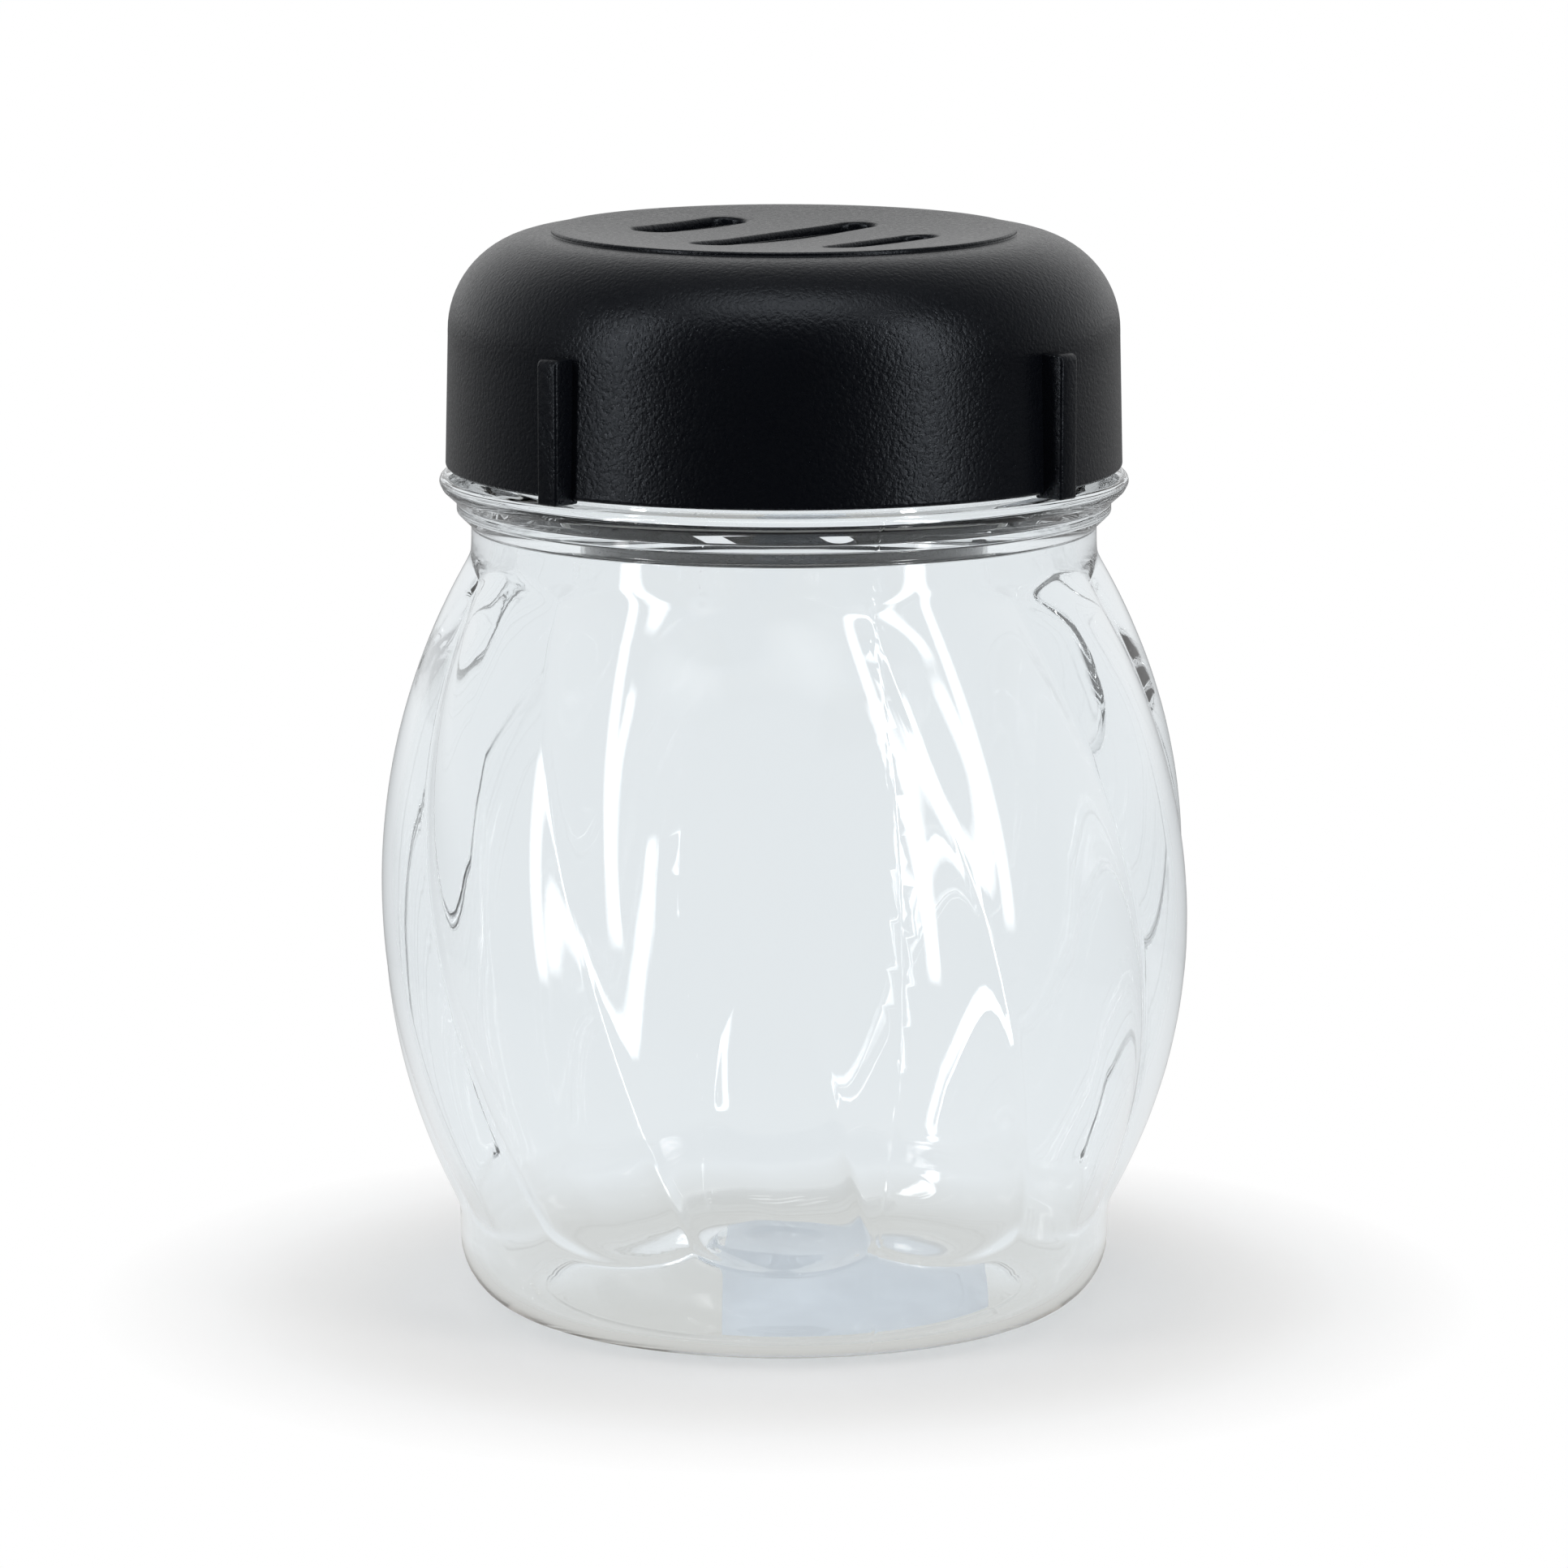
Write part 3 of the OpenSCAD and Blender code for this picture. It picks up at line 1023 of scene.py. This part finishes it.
    def slots(self) -> bmesh.types.BMesh:
        """Draws the three round-ended bars that cut the slots.

        Returns:
            The closed bars.
        """
        bars = bmesh.new()
        low = self.ceiling_z - self.slot_reach
        half_side = Matrix.Rotation(math.pi / self.slot_sides, 4, "Z")
        for place, length in zip((-1, 0, 1), self.slot_lengths):
            ring = bmesh.ops.create_circle(bars, cap_ends=True, segments=self.slot_sides,
                                           radius=self.slot_w / 2, matrix=half_side)["verts"]
            for vert in ring:
                vert.co.x += math.copysign((length - self.slot_w) / 2, vert.co.x)
            bmesh.ops.translate(bars, vec=(0, place * self.slot_step, low), verts=ring)
            face = list({f for vert in ring for f in vert.link_faces})
            top = bmesh.ops.extrude_face_region(bars, geom=face)["geom"]
            bmesh.ops.translate(bars, vec=(0, 0, 2 * self.slot_reach), verts=verts_of(top))
        turn_about(bars, bars.verts[:], self.angle)
        bmesh.ops.recalc_face_normals(bars, faces=bars.faces)
        return bars

    def rib_bars(self) -> bmesh.types.BMesh:
        """Draws the upright grip ribs, rounded along their edges.

        Returns:
            The closed bars, their roots inside the skirt.
        """
        bars = bmesh.new()
        size = Vector((self.rib_out - self.rib_in, self.rib_w, self.rib_top - self.rib_low))
        middle = Vector(((self.rib_out + self.rib_in) / 2, 0.0, (self.rib_top + self.rib_low) / 2))
        place = Matrix.Translation(middle) @ Matrix.Diagonal((*size, 1.0))
        bmesh.ops.create_cube(bars, size=1.0, matrix=place)
        crown = [e for e in bars.edges
                 if all(v.co.x > middle.x and v.co.z > middle.z for v in e.verts)]
        round_edges(bars, crown, self.rib_top_round, segments=4)
        shown = [e for e in bars.edges
                 if any(v.co.x > self.rib_in + LEVEL for v in e.verts) and e.calc_face_angle(0.0) > SHARP]
        round_edges(bars, shown, self.rib_round, segments=3)
        first = whole(bars)
        for i in range(self.ribs):
            copy = bmesh.ops.duplicate(bars, geom=first)["geom"]
            turn_about(bars, verts_of(copy), self.angle + 360.0 * i / self.ribs)
        bmesh.ops.delete(bars, geom=verts_of(first), context="VERTS")
        bmesh.ops.recalc_face_normals(bars, faces=bars.faces)
        return bars

    def gate_mark(self) -> bmesh.types.BMesh:
        """Draws the small raised round that the moulding's gate leaves on the left front rib.

        Returns:
            The closed round, its foot inside the rib.
        """
        mark = bmesh.new()
        place = Matrix.Rotation(math.radians(90), 4, "Y")
        ring = bmesh.ops.create_circle(mark, cap_ends=True, segments=self.gate_sides, radius=self.gate_r,
                                       matrix=place)["verts"]
        bmesh.ops.translate(mark, vec=(self.rib_out - self.gate_root, 0, self.gate_z), verts=ring)
        top = verts_of(bmesh.ops.extrude_face_region(mark, geom=mark.faces[:])["geom"])
        bmesh.ops.translate(mark, vec=(self.gate_root + self.gate_h, 0, 0), verts=top)
        bmesh.ops.scale(mark, vec=(1, self.gate_taper, self.gate_taper),
                        space=Matrix.Translation((0, 0, -self.gate_z)), verts=top)
        turn_about(mark, mark.verts[:], self.angle + 180.0)
        bmesh.ops.recalc_face_normals(mark, faces=mark.faces)
        return mark

    def dish(self, mesh: bmesh.types.BMesh) -> None:
        """Rounds the slots' edges, above more than below, and sinks the disc into its shallow dish.

        Args:
            mesh: The slotted lid.
        """
        def level(vert: bmesh.types.BMVert, z: float) -> bool:
            """Tells whether a vertex lies at a height, inside the dish."""
            return abs(vert.co.z - z) < LEVEL and vert.co.xy.length < self.dish_r - self.dish_margin

        for z, size in ((self.disc_z, self.slot_round), (self.ceiling_z, self.slot_round / 2)):
            edges = [e for e in mesh.edges
                     if all(level(v, z) for v in e.verts) and e.calc_face_angle(0.0) > SHARP]
            round_edges(mesh, edges, size, segments=4)
        for axis in (Vector((1, 0, 0)), Vector((0, 1, 0))):
            for place in spread(-self.dish_r, self.dish_r, self.top_grid)[1:-1]:
                top = [f for f in mesh.faces if all(v.co.z > self.disc_z - LEVEL for v in f.verts)
                       and f.calc_center_median().xy.length < self.dish_r]
                edges = list({e for f in top for e in f.edges})
                verts = list({v for f in top for v in f.verts})
                bmesh.ops.bisect_plane(mesh, geom=verts + edges + top, dist=MERGE, plane_co=axis * place,
                                       plane_no=axis)
        for vert in mesh.verts:
            r = vert.co.xy.length
            if vert.co.z > self.disc_z - 2 * self.slot_round and r < self.dish_r:
                vert.co.z -= self.dish_h * (1.0 - (r / self.dish_r) ** 2)

    def build(self) -> bmesh.types.BMesh:
        """Models the lid.

        Returns:
            The lid's mesh in millimetres.
        """
        mesh = revolve(self.section(), self.columns)
        bmesh.ops.edgeloop_fill(mesh, edges=[e for e in mesh.edges if e.is_boundary])
        bmesh.ops.recalc_face_normals(mesh, faces=mesh.faces)
        reshape(mesh, self.press_thread)
        mesh = combine(mesh, self.slots(), Cut.TAKE)
        self.dish(mesh)
        mesh = combine(mesh, self.rib_bars(), Cut.ADD)
        return combine(mesh, self.gate_mark(), Cut.ADD)

    def dress(self) -> None:
        """Builds the lid, finishes it in grained black plastic and seats it on its body."""
        piece = add_piece(self.build(), "lid_shell", LID_PLASTIC.make(), crease=35.0)
        seat(piece, Body.LID, "lid")


@dataclass
class SealRing:
    """The soft liner ring between the jar's rim and the lid."""

    inner_r: float = 26.5
    outer_r: float = 29.6
    low_z: float = 95.0
    high_z: float = 96.2
    edge: float = 0.25
    edge_turn: float = 30.0
    gap: float = 0.02
    columns: int = 180

    def build(self) -> bmesh.types.BMesh:
        """Models the ring from a rounded section.

        Returns:
            The ring's mesh in millimetres.
        """
        middle = (self.inner_r + self.outer_r) / 2
        low = self.low_z + self.gap
        high = self.high_z - self.gap
        corners = [(middle, low, 0.0), (self.outer_r, low, self.edge), (self.outer_r, high, self.edge),
                   (self.inner_r, high, self.edge), (self.inner_r, low, self.edge), (middle, low, 0.0)]
        return revolve(rounded_path(corners, self.edge_turn), self.columns)

    def dress(self) -> None:
        """Builds the ring, finishes it as soft liner and seats it on its body."""
        piece = add_piece(self.build(), "seal_liner", SOFT_LINER.make())
        seat(piece, Body.SEAL, "seal_ring")


@dataclass
class BaseSticker:
    """The blank paper sticker that is glued under the jar's domed base and ends at its standing ring."""

    jar: LobedJar
    left: float = 5.85
    right: float = 19.55
    back: float = 15.5
    edge_r: float = 22.6
    thick: float = 0.1
    glue: float = 0.02
    ring_step: float = 1.2
    columns: int = 180

    def build(self) -> bmesh.types.BMesh:
        """Models the sheet as a cap of the dome, trimmed straight on three sides.

        Returns:
            The sheet's mesh in millimetres, bedded in the plastic by the glue's depth.
        """
        cap = [(r, self.jar.dome(r) + self.glue) for r in spread(0.0, self.edge_r, self.ring_step)]
        mesh = revolve(cap, self.columns)
        for reach, side in ((self.left, (-1, 0, 0)), (self.right, (1, 0, 0)), (self.back, (0, 1, 0))):
            bmesh.ops.bisect_plane(mesh, geom=whole(mesh), dist=SLICE, plane_co=Vector(side) * reach,
                                   plane_no=side, clear_outer=True)
        under = bmesh.ops.extrude_face_region(mesh, geom=mesh.faces[:])["geom"]
        bmesh.ops.translate(mesh, vec=(0, 0, -self.thick), verts=verts_of(under))
        bmesh.ops.recalc_face_normals(mesh, faces=mesh.faces)
        return mesh

    def dress(self) -> None:
        """Builds the sticker, finishes it as paper and seats it on the jar's body."""
        piece = add_piece(self.build(), "base_sticker", STICKER_PAPER.make())
        seat(piece, Body.JAR, "base_label")


@dataclass(frozen=True)
class Softbox:
    """One soft lamp that faces the jar and fades towards its edges."""

    name: str
    azimuth: float
    elevation: float
    distance: float
    width: float
    height: float
    radiance: float
    side_fade: float
    end_fade: float

    def fade(self, lamp: bpy.types.Light) -> None:
        """Fades the lamp's light over a share of its half width and half height.

        Args:
            lamp: The lamp's data.
        """
        lamp.use_nodes = True
        lamp.node_tree.nodes.clear()
        sheet = NodeSheet(lamp.node_tree)
        spot = sheet.add("NewGeometry")
        parts = sheet.add("SeparateXYZ")
        both = sheet.add("Math", operation="MULTIPLY")
        glow = sheet.add("Emission")
        out = sheet.add("OutputLight")
        # The lamp's own coordinates run from 0 to 1, so half is its middle and the way from there to its edge
        half = 0.5
        for axis, soft, share in (("X", self.side_fade, both.inputs[0]),
                                  ("Y", self.end_fade, both.inputs[1])):
            off = sheet.add("Math", {1: half}, operation="SUBTRACT")
            size = sheet.add("Math", operation="ABSOLUTE")
            sheet.join(
                (parts.outputs[axis], off.inputs[0]), (off.outputs[0], size.inputs[0]),
                (sheet.remap(size.outputs[0], half - soft * half, half, 1.0, 0.0), share),
            )
        sheet.join(
            (spot.outputs["Parametric"], parts.inputs[0]), (both.outputs[0], glow.inputs["Strength"]),
            (glow.outputs[0], out.inputs["Surface"]),
        )

    def hang(self, target: Vector) -> None:
        """Hangs the lamp.

        Args:
            target: The point that it faces.
        """
        lamp = bpy.data.lights.new(self.name, "AREA")
        lamp.shape = "RECTANGLE"
        lamp.size = self.width
        lamp.size_y = self.height
        lamp.energy = self.radiance * math.pi * self.width * self.height
        self.fade(lamp)
        turn, lift = math.radians(self.azimuth), math.radians(self.elevation)
        toward = Vector((math.sin(turn) * math.cos(lift), -math.cos(turn) * math.cos(lift), math.sin(lift)))
        box = bpy.data.objects.new(self.name, lamp)
        box.location = target + toward * self.distance
        box.rotation_euler = (-toward).to_track_quat("-Z", "Y").to_euler()
        bpy.context.scene.collection.objects.link(box)


@dataclass
class Studio:
    """The white sweep, the soft lamps and the camera of the photograph."""

    table_r: float = 0.16
    table_sides: int = 128
    light_bounces: int = 28
    # What a gloss shows: the table towards its back and its rim, the room towards its back, top and bottom
    table_depth: RangeMap = (-0.12, 0.04, 0.0, 1.0)
    table_rim: RangeMap = (0.05, 0.16, 1.0, 0.4)
    room_depth: RangeMap = (-0.25, 0.75, 0.0, 1.0)
    room_high: RangeMap = (0.4, 0.85, 1.0, 0.5)
    room_low: RangeMap = (-0.1, 0.03, 0.36, 1.0)
    # The floor's paint, its turn to plain white away from the jar, and the painted shade under the jar
    floor_colour: Colour = (0.93, 0.93, 0.93)
    white_out: RangeMap = (0.036, 0.068, 0.0, 1.0)
    painted_shade_fade: RangeMap = (0.026, 0.055, 0.0, 1.0)
    painted_shade_tint: Colour = (0.75, 0.725, 0.685)
    # What lights the object evenly, what is seen through clear plastic, and the ends of what a gloss shows
    fill: Colour = (0.47, 0.47, 0.47)
    behind: Colour = (0.84, 0.875, 0.895)
    dark: Colour = (0.012, 0.012, 0.014)
    bright: Colour = (0.8, 0.8, 0.8)
    camera_place: Corner = (0.0, -0.7411, 0.18258)
    camera_pitch: float = 10.09
    field_of_view: float = 11.53
    target: Corner = (0.0, 0.0, 0.05)
    lamps: tuple[Softbox, ...] = (
        Softbox("strip_left", azimuth=-58, elevation=17.6, distance=0.83, width=0.11, height=0.96,
                radiance=9.0, side_fade=0.6, end_fade=0.16),
        Softbox("strip_right", azimuth=49, elevation=17.6, distance=0.83, width=0.11, height=0.96,
                radiance=10.0, side_fade=0.6, end_fade=0.16),
        Softbox("overhead", azimuth=0, elevation=68, distance=0.9, width=1.1, height=0.6,
                radiance=2.6, side_fade=0.8, end_fade=0.8),
    )

    def by_ray(self, sheet: NodeSheet,
               glossed: bpy.types.NodeSocket) -> tuple[bpy.types.NodeSocket, bpy.types.NodeSocket]:
        """Picks the background's colour for the kind of ray that meets it.

        The camera sees plain white, a ray through clear plastic sees the pale sweep, a gloss sees the room,
        and the light that falls on the object is an even fill.

        Args:
            sheet: The tree to fill.
            glossed: The colour that a gloss shows.

        Returns:
            The colour, and 1 for a ray that shows the background or 0 for light.
        """
        path = sheet.add("LightPath")
        gloss = sheet.add("Mix", {MIX_FIRST: (*self.fill, 1.0)}, data_type="RGBA")
        through = sheet.add("Mix", {MIX_SECOND: (*self.behind, 1.0)}, data_type="RGBA")
        camera = sheet.add("Mix", {MIX_SECOND: (*WHITE, 1.0)}, data_type="RGBA")
        some = sheet.add("Math", operation="MAXIMUM")
        every = sheet.add("Math", operation="MAXIMUM")
        sheet.join(
            (path.outputs["Is Glossy Ray"], gloss.inputs[0]),
            (glossed, gloss.inputs[MIX_SECOND]),
            (path.outputs["Is Transmission Ray"], through.inputs[0]),
            (gloss.outputs[MIX_OUT], through.inputs[MIX_FIRST]),
            (path.outputs["Is Camera Ray"], camera.inputs[0]),
            (through.outputs[MIX_OUT], camera.inputs[MIX_FIRST]),
            (path.outputs["Is Camera Ray"], some.inputs[0]),
            (path.outputs["Is Glossy Ray"], some.inputs[1]),
            (some.outputs[0], every.inputs[0]),
            (path.outputs["Is Transmission Ray"], every.inputs[1]),
        )
        return camera.outputs[MIX_OUT], every.outputs[0]

    def sweep_finish(self) -> bpy.types.Material:
        """Builds the floor's finish: real shadow and painted shade near the jar, plain white further out.

        Returns:
            The material.
        """
        sheet, material = NodeSheet.of_material("white_sweep")
        paint = sheet.add("BsdfDiffuse", {"Color": (*self.floor_colour, 1.0)})
        path = sheet.add("LightPath")
        other = sheet.add("Math", {0: 1.0}, operation="SUBTRACT")
        show = sheet.add("Math", operation="MAXIMUM")
        near = sheet.add("Math", operation="MULTIPLY")
        white = sheet.add("Emission")
        shaded = sheet.add("Mix", {0: 1.0}, data_type="RGBA", blend_type="MULTIPLY")
        mix = sheet.add("MixShader")
        out = sheet.add("OutputMaterial")
        place = sheet.add("TexCoord")
        parts = sheet.add("SeparateXYZ")
        away = sheet.add("VectorMath", operation="LENGTH")
        share = sheet.add("Math", operation="MULTIPLY")
        sheet.join((place.outputs["Object"], away.inputs[0]), (place.outputs["Object"], parts.inputs[0]))
        sheet.join(
            (sheet.remap(parts.outputs["Y"], *self.table_depth), near.inputs[0]),
            (sheet.remap(away.outputs["Value"], *self.table_rim), near.inputs[1]),
        )
        colour, seen = self.by_ray(sheet, sheet.ramp(near.outputs[0], self.dark, self.bright))
        sheet.join(
            (colour, shaded.inputs[MIX_FIRST]),
            # Painted shade: the glow that rays through the jar see turns darker and warmer towards its foot
            (sheet.ramp(sheet.remap(away.outputs["Value"], *self.painted_shade_fade), self.painted_shade_tint, WHITE),
             shaded.inputs[MIX_SECOND]),
            (shaded.outputs[MIX_OUT], white.inputs["Color"]),
            (path.outputs["Is Camera Ray"], other.inputs[1]),
            (other.outputs[0], show.inputs[0]),
            (sheet.remap(away.outputs["Value"], *self.white_out), show.inputs[1]),
            (show.outputs[0], share.inputs[0]),
            (seen, share.inputs[1]),
            (share.outputs[0], mix.inputs[0]),
            (paint.outputs[0], mix.inputs[1]),
            (white.outputs[0], mix.inputs[2]),
            (mix.outputs[0], out.inputs["Surface"]),
        )
        return material

    def lay_sweep(self) -> None:
        """Lays the round table under the jar, small enough for the strips to reach below its edge."""
        mesh = bmesh.new()
        bmesh.ops.create_circle(mesh, cap_ends=True, segments=self.table_sides, radius=self.table_r / MM)
        floor = add_piece(mesh, "sweep", self.sweep_finish())

    def light_room(self) -> None:
        """Lights the room: white behind, less so high up, dark on the camera's side, with an even fill."""
        world = bpy.data.worlds.new("room")
        bpy.context.scene.world = world
        world.use_nodes = True
        world.node_tree.nodes.clear()
        sheet = NodeSheet(world.node_tree)
        place = sheet.add("TexCoord")
        parts = sheet.add("SeparateXYZ")
        high = sheet.add("Math", operation="MULTIPLY")
        both = sheet.add("Math", operation="MULTIPLY")
        room = sheet.add("Background")
        out = sheet.add("OutputWorld")
        sheet.join((place.outputs["Generated"], parts.inputs[0]))
        sheet.join(
            (sheet.remap(parts.outputs["Y"], *self.room_depth), high.inputs[0]),
            (sheet.remap(parts.outputs["Z"], *self.room_high), high.inputs[1]),
            (high.outputs[0], both.inputs[0]),
            (sheet.remap(parts.outputs["Z"], *self.room_low), both.inputs[1]),
        )
        colour, _ = self.by_ray(sheet, sheet.ramp(both.outputs[0], self.dark, self.bright))
        sheet.join((colour, room.inputs["Color"]), (room.outputs[0], out.inputs["Surface"]))
        for lamp in self.lamps:
            lamp.hang(Vector(self.target))

    def set_camera(self) -> None:
        """Puts the camera where the photograph was taken from."""
        lens = bpy.data.cameras.new("photo_view")
        lens.angle = math.radians(self.field_of_view)
        camera = bpy.data.objects.new("photo_view", lens)
        camera.location = self.camera_place
        camera.rotation_euler = (math.radians(90.0 - self.camera_pitch), 0.0, 0.0)
        bpy.context.scene.collection.objects.link(camera)
        bpy.context.scene.camera = camera

    def dress(self) -> None:
        """Sets up the whole studio."""
        bpy.context.scene.view_settings.view_transform = "Standard"
        cycles = bpy.context.scene.cycles
        cycles.max_bounces = cycles.transmission_bounces = cycles.glossy_bounces = self.light_bounces
        self.set_camera()
        self.lay_sweep()
        self.light_room()


def main() -> None:
    """Builds the studio and every piece in order."""
    logging.basicConfig(level=logging.INFO, format="%(name)s: %(message)s")
    Studio().dress()
    jar = LobedJar()
    for part in (jar, SlottedLid(), SealRing(), BaseSticker(jar)):
        part.dress()


if __name__ == "__main__":
    main()
